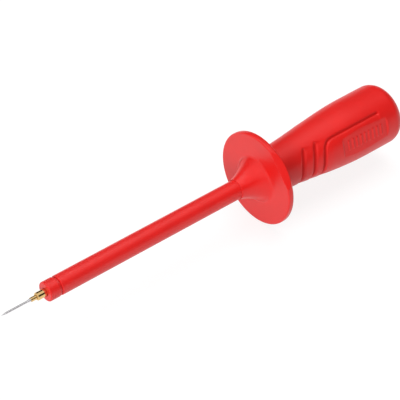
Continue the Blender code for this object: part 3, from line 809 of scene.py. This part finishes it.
def guard_front():
    """Outline of the guard's bore edge, its trumpet-shaped hub and its front face."""
    bend = -HUB_FRONT / 2.0
    control = (HUB_FRONT + bend, HUB_LIP_RADIUS + bend * math.tan(HUB_FRONT_SLOPE))
    hub = bezier((HUB_FRONT, HUB_LIP_RADIUS), control, (0.0, HUB_BASE_RADIUS), 28)
    face_end = (0.0, GUARD_RADIUS - RIM_REACH, 0.0)
    foot = rounded([(*hub[-8], 0.0), (*hub[-1], HUB_FOOT_ROUND), face_end], closed=False, steps=12)
    front = [(HUB_FRONT, GUARD_BORE), (HUB_FRONT, GUARD_BORE + 0.04)]
    front += [(HUB_FRONT + 0.02, HUB_LIP_RADIUS - 0.01)]
    front += hub[1:-8] + foot[1:-1]
    front += [(0.0, radius) for radius in (8.5, 10.0, 11.5, 12.6)]
    return front


class ProbeGuard(Operator):
    """Add the round finger guard with its hub and slanted flat"""

    bl_idname = "probe.guard"
    bl_label = "Finger guard"

    def execute(self, context):
        # Angles lie close together where the flat crosses the rim
        turn = np.radians(np.concatenate([np.arange(-32.0, 32.0, 1.0), np.arange(32.0, 327.9, 2.96)]))
        angles = math.pi - FLAT_ANGLE + turn
        back = [(GUARD_BACK, radius) for radius in (12.6, 10.0, 7.5, 5.0, GUARD_BORE + 0.12)]
        back += [(GUARD_BACK - 0.03, GUARD_BORE + 0.03), (GUARD_BACK - 0.12, GUARD_BORE)]
        parts = [carried(guard_front(), len(angles)), guard_rim(turn), carried(back, len(angles))]
        stations, radii = (np.concatenate(values) for values in zip(*parts))
        mesh = swept("guard_disc", stations, radii, angles)
        red = red_plastic("red_guard", roughness=0.34, grain=0.7 * MM, depth=0.0010 * MM, specular=0.54)
        add_piece(mesh, red, "red_plastic", "root", "finger_guard")
        return {"FINISHED"}


# Handle

def handle_radius(station):
    """Outer radius of the handle: a waist behind the guard that flares in an S-curve."""
    share = np.clip((station - HANDLE_FRONT) / FLARE_LENGTH, 0.0, 1.0)
    flare = HANDLE_RADIUS - HANDLE_WAIST_RADIUS
    return HANDLE_WAIST_RADIUS + flare * (1.0 - np.cos(math.pi * share)) / 2.0


def round_end(past, length):
    """Share that falls from 1 to 0 over a length, as a quarter of an ellipse."""
    return np.sqrt(1.0 - np.clip(past / length, 0.0, 1.0) ** 2)


def groove_station(middle, angle):
    """Station of a groove at an angle over the horizontal. Its upper end is swept back."""
    above = np.clip(angle / GROOVE_END_ANGLE, 0.0, 1.0)
    below = np.clip(-angle / GROOVE_LOWER_BEND, 0.0, 1.0)
    upper = GROOVE_UPPER_SWEEP * (1.0 - np.cos(math.pi / 2.0 * above))
    lower = GROOVE_LOWER_SWEEP * (1.0 - np.cos(math.pi * below)) / 2.0
    return HANDLE_FRONT + middle + upper + lower


def groove_section(offset, wall, floor, ramp, rise):
    """Depth share of a groove at an offset from its front edge: a wall, a floor, a ramp and a slow rise."""
    down = offset / wall
    left = wall + floor + ramp + rise - offset
    back = np.maximum(RISE_SHARE * left / rise, RISE_SHARE + (1.0 - RISE_SHARE) * (left - rise) / ramp)
    side = soft_least(soft_least(down, back, SECTION_ROUND), np.ones_like(offset), SECTION_ROUND)
    share = np.where(side > SECTION_LIP, side, (side + SECTION_LIP) ** 2 / (4.0 * SECTION_LIP))
    return np.where(side < -SECTION_LIP, 0.0, share)


def painted_shade_share(offset, width):
    """Share of painted shade at an offset from a groove's front edge: on its wall and floor."""
    return soft_step(offset, 0.0, 0.4 * width) * (1.0 - soft_step(offset, 0.8 * width, 1.15 * width))


def grip_grooves(station, angle, ends, sizes):
    """Depth of the grip grooves, in millimetres, and the share of painted shade in them. Both fade with
    ends.
    """
    depth = np.zeros_like(station)
    dark = np.zeros_like(station)
    wall = sizes.groove_wall / MM
    floor = sizes.groove_floor / MM
    for middle in GRIP_GROOVES:
        edge = groove_station(middle, angle) - wall * ends
        offset = (station - edge) / np.maximum(ends, LEAST_SHARE)
        share = groove_section(offset, wall, floor, sizes.groove_ramp / MM, sizes.groove_rise / MM)
        depth = np.maximum(depth, sizes.groove_depth / MM * ends * share)
        dark = np.maximum(dark, GROOVE_PAINTED_SHADE * ends * painted_shade_share(offset, wall + floor))
    return depth, dark


def panel_line(station, angle, top, ends, sizes):
    """Depth of the line round the panel, in millimetres, and the share of painted shade in it."""
    # Distance from the panel's rounded outline, positive inside the panel
    from_front = PANEL_CORNER - (station - groove_station(PANEL_FRONT, angle))
    from_top = PANEL_CORNER - handle_radius(station) * (top - angle)
    inside = PANEL_CORNER - np.hypot(np.maximum(from_front, 0.0), np.maximum(from_top, 0.0))
    inside -= np.minimum(np.maximum(from_front, from_top), 0.0)
    last = HANDLE_FRONT + PANEL_FRONT + PANEL_LENGTH
    fade = np.where(angle < 0.0, ends, 1.0) * round_end(station - (last - LINE_END_START), LINE_END_LENGTH)
    # The line's wall is steep above the panel and wide before it
    before = np.clip((from_front - from_top) / (2.0 * PANEL_CORNER) + 0.5, 0.0, 1.0)
    wall = PANEL_TOP_WALL + (PANEL_FRONT_WALL - PANEL_TOP_WALL) * before
    offset = inside / np.maximum(fade, LEAST_SHARE) + wall - PANEL_FRONT_SHIFT * before
    line = groove_section(offset, wall, PANEL_FLOOR, PANEL_RAMP, PANEL_RISE)
    # Painted shade along the line's wall and floor, stronger above the panel than before it
    line_painted_shade = PANEL_TOP_PAINTED_SHADE + (PANEL_FRONT_PAINTED_SHADE - PANEL_TOP_PAINTED_SHADE) * before
    return sizes.panel_depth / MM * fade * line, line_painted_shade * fade * painted_shade_share(offset, wall + PANEL_FLOOR)


def handle_relief(station, angle, far, sizes):
    """Depth of the grooves and the panel's line, in millimetres, and the share of painted shade in them.

    Angles rise from the horizontal. Grooves and line reach less high on the far side.
    """
    end_angle = np.where(far & (angle > 0.0), FAR_GROOVE_TOP, GROOVE_END_ANGLE)
    beyond = (np.abs(angle) - end_angle) * handle_radius(station)
    ends = round_end(beyond + GROOVE_END_START, GROOVE_END_LENGTH)
    grooves = grip_grooves(station, angle, ends, sizes)
    line = panel_line(station, angle, np.where(far, FAR_PANEL_TOP, PANEL_TOP_ANGLE), ends, sizes)
    return np.maximum(grooves[0], line[0]), np.maximum(grooves[1], line[1])


def label_surface(station, angle, sizes):
    """Radius of the panel's flat with its plain ribs, and a large radius away from it."""
    front = HANDLE_FRONT + LABEL_FRONT
    rear = front + LABEL_LENGTH
    half = LABEL_WIDTH / 2.0
    heights = [math.sqrt(float(handle_radius(place)) ** 2 - half ** 2) for place in (front, rear)]
    share = (station - front) / LABEL_LENGTH
    height = heights[0] + (heights[1] - heights[0]) * share
    height = height + LABEL_END_SLOPE * np.maximum(front + LABEL_END_LENGTH - station, 0.0)
    height = height + LABEL_END_SLOPE * np.maximum(station - rear + LABEL_END_LENGTH, 0.0)
    lean = np.clip(angle - LABEL_ANGLE, -LABEL_REACH, LABEL_REACH)
    across = handle_radius(station) * np.sin(lean)
    pitch = (LABEL_LENGTH - 2.0 * RIB_MARGIN) / max(sizes.rib_count - 1, 1)
    ribs = np.zeros_like(station)
    for number in range(sizes.rib_count):
        away = np.abs(station - (front + RIB_MARGIN + pitch * number))
        ribs = np.maximum(ribs, 1.0 - soft_step(away, RIB_TOP, RIB_FOOT))
    ribs = ribs * (1.0 - soft_step(np.abs(across), RIB_END_TOP, RIB_END_FOOT))
    return (height + sizes.rib_height / MM * ribs) / np.cos(lean)


class ProbeHandle(Operator):
    """Add the flared handle with its grip grooves, panel line and label flat"""

    bl_idname = "probe.handle"
    bl_label = "Handle"

    def execute(self, context):
        sizes = context.scene.probe_sizes
        # Angles and stations lie close together where the relief is
        side = np.radians(np.concatenate([np.arange(-57.0, 57.01, 1.2), np.arange(60.0, 122.0, 3.0)]))
        angles = np.concatenate([side, side + math.pi])
        rear_start = HANDLE_REAR - HANDLE_REAR_ROUND
        carved = np.concatenate([
            np.arange(HANDLE_FRONT + 0.8, HANDLE_FRONT + 8.0, 0.4),
            np.arange(HANDLE_FRONT + 8.0, HANDLE_FRONT + 44.6, 0.12),
            np.linspace(HANDLE_FRONT + 44.8, rear_start - 0.05, 8),
        ])
        station, angle = np.meshgrid(carved, angles, indexing="ij")
        rise = np.arcsin(np.sin(angle))
        depth, dark = handle_relief(station, rise, np.cos(angle) > 0.0, sizes)
        radius = soft_least(handle_radius(station), label_surface(station, rise, sizes), LABEL_EDGE_ROUND)
        front_arc = arc((HANDLE_FRONT + HANDLE_FRONT_ROUND, HANDLE_WAIST_RADIUS - HANDLE_FRONT_ROUND),
                        HANDLE_FRONT_ROUND, 180.0, 90.0, 8)
        rear_arc = arc((rear_start, HANDLE_RADIUS - HANDLE_REAR_ROUND), HANDLE_REAR_ROUND, 90.0, 0.0, 28)
        inner = rounded([
            (HANDLE_REAR, HANDLE_RADIUS - HANDLE_REAR_ROUND, 0.0),
            (HANDLE_REAR, RECESS_RADIUS + RECESS_CHAMFER, 0.1),
            (HANDLE_REAR - RECESS_CHAMFER, RECESS_RADIUS, 0.1),
            (CORE_STEP_REAR, RECESS_RADIUS, 0.06),
            (CORE_STEP_REAR, HANDLE_BORE, 0.06),
            (HANDLE_FRONT, HANDLE_BORE, 0.1),
            (HANDLE_FRONT, HANDLE_WAIST_RADIUS - HANDLE_FRONT_ROUND, 0.0),
        ], closed=False)
        rear = rear_arc + inner[1:-1]
        parts = [carried(front_arc, len(angles)), (station, radius - depth), carried(rear, len(angles))]
        stations, radii = (np.concatenate(values) for values in zip(*parts))
        mesh = swept("handle_moulding", stations, radii, angles)
        # Painted shade: the share of darker colour in the grooves and panel line, kept on each point of the
        # mesh
        seams = np.zeros(stations.shape)
        seams[len(front_arc):len(front_arc) + len(carved)] = dark
        mesh.attributes.new(PAINTED_SHADE_ATTRIBUTE, "FLOAT", "POINT").data.foreach_set("value", seams.ravel())
        red = red_plastic("red_handle", 0.40, grain=0.22 * MM, depth=0.006 * MM, specular=0.46, seams=True)
        add_piece(mesh, red, "red_plastic", "root", "handle_shell")
        return {"FINISHED"}


# Socket

def open_ring(name, section, gap):
    """Ring of a small section with a gap at its top, closed at both of its ends."""
    segments = 72
    half = gap / 2.0 / RING_SEAT_RADIUS
    angles = np.linspace(math.pi / 2.0 + half, math.pi / 2.0 + math.tau - half, segments + 1)
    vertices = []
    for angle in angles:
        for station, radius in section:
            vertices.append((GUARD_FRONT_X + station * MM, radius * math.cos(angle) * MM,
                             AXIS_HEIGHT + radius * math.sin(angle) * MM))
    mesh = new_mesh(name, vertices, tube_faces(segments + 1, len(section)))
    mesh.set_sharp_from_angle(angle=math.radians(50.0))
    return mesh


def cut_slot(tube, angle):
    """Saws a slot across the contact tube's rear end, in a plane through the axis."""
    length = SLOT_LENGTH + 2.0 * SLOT_WIDTH
    middle = CONTACT_REAR - SLOT_LENGTH / 2.0 + SLOT_WIDTH
    half = (length / 2.0 * MM, SLOT_WIDTH / 2.0 * MM, 2.0 * CONTACT_RADIUS * MM)
    ends = (-1.0, 1.0)
    corners = [(half[0] * x, half[1] * y, half[2] * z) for x in ends for y in ends for z in ends]
    sides = [(0, 1, 3, 2), (4, 6, 7, 5), (0, 4, 5, 1), (2, 3, 7, 6), (0, 2, 6, 4), (1, 5, 7, 3)]
    block = new_mesh("slot_saw", corners, sides, smooth=False)
    block.transform(Matrix.Translation((GUARD_FRONT_X + middle * MM, 0.0, AXIS_HEIGHT))
                    @ Matrix.Rotation(angle, 4, "X"))
    saw = add_object("slot_saw", block)
    cut = tube.modifiers.new("slot", "BOOLEAN")
    cut.operation = "DIFFERENCE"
    cut.solver = "EXACT"
    cut.object = saw
    seen = bpy.context.evaluated_depsgraph_get()
    sawn = bpy.data.meshes.new_from_object(tube.evaluated_get(seen))
    tube.modifiers.remove(cut)
    whole = tube.data
    tube.data = sawn
    bpy.data.meshes.remove(whole)
    sawn.name = tube.name
    sawn.set_sharp_from_angle(angle=math.radians(40.0))
    bpy.data.objects.remove(saw, do_unlink=True)
    bpy.data.meshes.remove(block)


class ProbeSocket(Operator):
    """Add the slotted contact, its spring ring and the shroud in the handle's rear end"""

    bl_idname = "probe.socket"
    bl_label = "Socket"

    def execute(self, context):
        seat_front = RING_FRONT - METAL_GAP
        seat_rear = RING_REAR + METAL_GAP
        contact = rounded([
            (CONTACT_FRONT, TAPPED_RADIUS, 0.1),
            (CONTACT_FRONT, CONTACT_RADIUS, 0.15),
            (seat_front, CONTACT_RADIUS, 0.03),
            (seat_front, RING_SEAT_RADIUS, 0.03),
            (seat_rear, RING_SEAT_RADIUS, 0.03),
            (seat_rear, CONTACT_RADIUS, 0.03),
            (CONTACT_REAR, CONTACT_RADIUS, 0.12),
            (CONTACT_REAR, PLUG_BORE, 0.22),
            (CONTACT_REAR - PLUG_BORE_DEPTH, PLUG_BORE, 0.2),
            (CONTACT_REAR - PLUG_BORE_DEPTH, 0.02, 0.0),
            (CONTACT_FRONT + TAPPED_DEPTH, 0.02, 0.0),
            (CONTACT_FRONT + TAPPED_DEPTH, TAPPED_RADIUS, 0.1),
        ])
        tube = add_piece(turned("contact_tube", contact, 96), turned_metal("nickel_contact", "nickel", 0.2),
                         "nickel_plating", "root", "socket_contact")
        for angle in (45.0, 135.0):
            cut_slot(tube, math.radians(angle))
        ring_inner = RING_SEAT_RADIUS + RING_GAP
        ring = rounded([
            (RING_FRONT, ring_inner, 0.03),
            (RING_FRONT, CONTACT_RADIUS, 0.05),
            (RING_REAR, CONTACT_RADIUS, 0.05),
            (RING_REAR, ring_inner, 0.03),
        ])
        add_piece(open_ring("spring_ring", ring, 2.0 * SLOT_WIDTH), drawn_metal("ring_steel", "steel", 0.28),
                  "steel", "root", "contact_ring")
        shroud = rounded([
            (SHROUD_FRONT, SHROUD_BORE, 0.05),
            (SHROUD_FRONT, SHROUD_RADIUS, 0.12),
            (SHROUD_REAR, SHROUD_RADIUS, 0.42),
            (SHROUD_REAR, SHROUD_LIP_BORE, 0.25),
            (SHROUD_REAR - SHROUD_LIP, SHROUD_LIP_BORE, 0.1),
            (SHROUD_REAR - SHROUD_LIP, SHROUD_BORE, 0.05),
        ], steps=6)
        red = red_plastic("red_shroud", roughness=0.30, grain=0.4 * MM, depth=0.004 * MM, specular=0.5)
        add_piece(turned("shroud_tube", shroud, 96), red, "red_plastic", "root", "socket_shroud")
        return {"FINISHED"}


class ProbeInnerParts(Operator):
    """Give the CAD parts inside the probe their finishes"""

    bl_idname = "probe.inner_parts"
    bl_label = "Inner parts"

    def execute(self, context):
        brass = turned_metal("turned_brass", "brass", 0.28)
        finishes = {
            "conductor_rod": brass,
            "barrel_plug": brass,
            "clamp_washer": drawn_metal("washer_steel", "steel", 0.32),
            "handle_core": white_plastic("white_core"),
        }
        for name, material in finishes.items():
            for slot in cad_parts[name].material_slots:
                slot.material = material
        return {"FINISHED"}


# Stage

def grey(level):
    """Colour of a grey, from black at 0 to white at 1."""
    return level, level, level, 1.0


def seen_choice(tree, lighting, shown):
    """Shader that is seen as one thing and lights the scene as another."""
    rays = add_node(tree, "ShaderNodeLightPath").outputs
    seen = rays["Is Camera Ray"]
    for kind in ("Is Glossy Ray", "Is Transmission Ray"):
        most = add_node(tree, "ShaderNodeMath", links={0: seen, 1: rays[kind]}, operation="MAXIMUM")
        seen = most.outputs["Value"]
    mix = add_node(tree, "ShaderNodeMixShader", links={"Fac": seen, 1: lighting, 2: shown})
    return mix.outputs["Shader"]


def add_floor():
    """Pale floor that keeps the probe's soft shadow and otherwise shows white."""
    count = 9
    line = np.linspace(-FLOOR_REACH, FLOOR_REACH, count)
    vertices = [(float(x), float(y), -FLOOR_DROP) for y in line for x in line]
    faces = grid_faces(count, count, ring=False)
    floor = add_object("floor", new_mesh("floor", vertices, faces, smooth=False))
    material = bpy.data.materials.new("pale_floor")
    tree = empty_tree(material)
    paper = add_node(tree, "ShaderNodeBsdfDiffuse", {"Color": grey(FLOOR_PAPER)}).outputs["BSDF"]
    shown = add_node(tree, "ShaderNodeBsdfDiffuse", {"Color": grey(FLOOR_SHOWN)}).outputs["BSDF"]
    glow = add_node(tree, "ShaderNodeEmission", {"Strength": FLOOR_GLOW}).outputs["Emission"]
    both = add_node(tree, "ShaderNodeAddShader", links={0: shown, 1: glow}).outputs["Shader"]
    add_node(tree, "ShaderNodeOutputMaterial", links={"Surface": seen_choice(tree, paper, both)})
    floor.data.materials.append(material)


def add_dark_band():
    """Grey band round the set, seen only in gloss, like the dim walls of a studio."""
    steps = 48
    rows = 6
    turn = np.arange(steps) * math.tau / steps
    bottom = BAND_LOW - BAND_DIP * np.cos(turn)
    top = BAND_HIGH + BAND_LEAN * np.cos(turn - BAND_LEAN_DIRECTION)
    rise = bottom + (top - bottom) * np.arange(rows + 1)[:, None] / rows
    level = BAND_DISTANCE * np.cos(rise)
    height = AXIS_HEIGHT + BAND_DISTANCE * np.sin(rise)
    points = np.stack([level * np.cos(turn), level * np.sin(turn), height], axis=-1)
    middles = np.abs(turn + math.pi / steps - WINDOW_DIRECTION)
    faces = [face for face in grid_faces(rows + 1, steps) if middles[face[0] % steps] >= WINDOW_HALF_WIDTH]
    mesh = new_mesh("dark_band", points.reshape(-1, 3).tolist(), faces, smooth=False)
    band = add_object("dark_band", mesh)
    material = bpy.data.materials.new("dim_studio")
    tree = empty_tree(material)
    glow = add_node(tree, "ShaderNodeEmission", {"Color": grey(1.0), "Strength": BAND_GLOW})
    add_node(tree, "ShaderNodeOutputMaterial", links={"Surface": glow.outputs["Emission"]})
    band.data.materials.append(material)
    band.visible_camera = False
    band.visible_diffuse = False
    band.visible_shadow = False
    band.visible_transmission = False


def set_world(strength):
    """World that shows white and lights the object at its own, lower strength."""
    world = bpy.data.worlds.new("studio")
    bpy.context.scene.world = world
    tree = empty_tree(world)
    light, shown = [
        add_node(tree, "ShaderNodeBackground", {"Color": grey(1.0), "Strength": level}).outputs["Background"]
        for level in (strength, 1.0)
    ]
    add_node(tree, "ShaderNodeOutputWorld", links={"Surface": seen_choice(tree, light, shown)})


def add_lamp(name, place, size, power):
    """Square soft lamp that looks at the middle of the probe."""
    data = bpy.data.lights.new(name, "AREA")
    data.shape = "SQUARE"
    data.size = size
    data.energy = power
    lamp = add_object(name, data)
    lamp.location = place
    aim = Vector((0.0, 0.0, AXIS_HEIGHT)) - Vector(place)
    lamp.rotation_mode = "QUATERNION"
    lamp.rotation_quaternion = aim.to_track_quat("-Z", "Y")
    # Gloss shows the white surroundings in the lamp's place, so highlights stay soft
    lamp.visible_glossy = False


def add_camera(azimuth, elevation, distance):
    """Camera at the photograph's angle, with the guard's front at its place in the frame."""
    back = Vector((math.sin(azimuth) * math.cos(elevation), -math.cos(azimuth) * math.cos(elevation),
                   math.sin(elevation)))
    right = Vector((math.cos(azimuth), math.sin(azimuth), 0.0))
    up = back.cross(right)
    to_right = (GUARD_COLUMN - FRAME_SIDE / 2.0) / FOCAL * distance
    to_top = (FRAME_SIDE / 2.0 - GUARD_ROW) / FOCAL * distance
    guard = Vector((GUARD_FRONT_X, 0.0, AXIS_HEIGHT))
    data = bpy.data.cameras.new("camera")
    data.sensor_fit = "HORIZONTAL"
    data.sensor_width = SENSOR_WIDTH
    data.lens = FOCAL / FRAME_SIDE * SENSOR_WIDTH
    data.clip_start = 0.01
    data.clip_end = 20.0
    camera = add_object("camera", data)
    place = Matrix((right, up, back)).transposed().to_4x4()
    place.translation = guard - right * to_right - up * to_top + back * distance
    camera.matrix_world = place
    bpy.context.scene.camera = camera


class ProbeStageSet(Operator):
    """Add the floor, the white surroundings, the lamps and the camera"""

    bl_idname = "probe.stage_set"
    bl_label = "Stage"

    def execute(self, context):
        stage = context.scene.probe_stage
        context.scene.view_settings.view_transform = "Standard"
        add_camera(stage.camera_azimuth, stage.camera_elevation, stage.camera_distance)
        add_floor()
        set_world(stage.world_strength)
        for name, place, size in LAMPS:
            add_lamp(name, place, size, getattr(stage, name + "_power"))
        add_dark_band()
        return {"FINISHED"}


class ProbePanel(Panel):
    """Lists the probe's pieces, sizes, colours and lights"""

    bl_idname = "VIEW3D_PT_probe"
    bl_label = "Test probe"
    bl_space_type = "VIEW_3D"
    bl_region_type = "UI"
    bl_category = "Probe"

    def draw(self, context):
        layout = self.layout
        for operator in OPERATORS:
            layout.operator(operator.bl_idname, text=operator.bl_label)
        for title in ("Sizes", "Colours", "Stage"):
            box = layout.box()
            box.label(text=title)
            settings = getattr(context.scene, "probe_" + title.lower())
            for name in settings.__annotations__:
                box.prop(settings, name)


OPERATORS = (
    ProbeStageSet,
    ProbeNeedle,
    ProbeSpring,
    ProbeTip,
    ProbeShank,
    ProbeGuard,
    ProbeHandle,
    ProbeSocket,
    ProbeInnerParts,
)
CLASSES = (ProbeSizes, ProbeColours, ProbeStage, *OPERATORS, ProbePanel)


def register():
    for item in CLASSES:
        bpy.utils.register_class(item)
    bpy.types.Scene.probe_sizes = PointerProperty(type=ProbeSizes)
    bpy.types.Scene.probe_colours = PointerProperty(type=ProbeColours)
    bpy.types.Scene.probe_stage = PointerProperty(type=ProbeStage)


def unregister():
    del bpy.types.Scene.probe_stage
    del bpy.types.Scene.probe_colours
    del bpy.types.Scene.probe_sizes
    for item in reversed(CLASSES):
        bpy.utils.unregister_class(item)


def main():
    """Builds the probe's pieces and stage."""
    register()
    bpy.ops.probe.stage_set()
    bpy.ops.probe.needle()
    bpy.ops.probe.spring()
    bpy.ops.probe.tip()
    bpy.ops.probe.shank()
    bpy.ops.probe.guard()
    bpy.ops.probe.handle()
    bpy.ops.probe.socket()
    bpy.ops.probe.inner_parts()


if __name__ == "__main__":
    main()
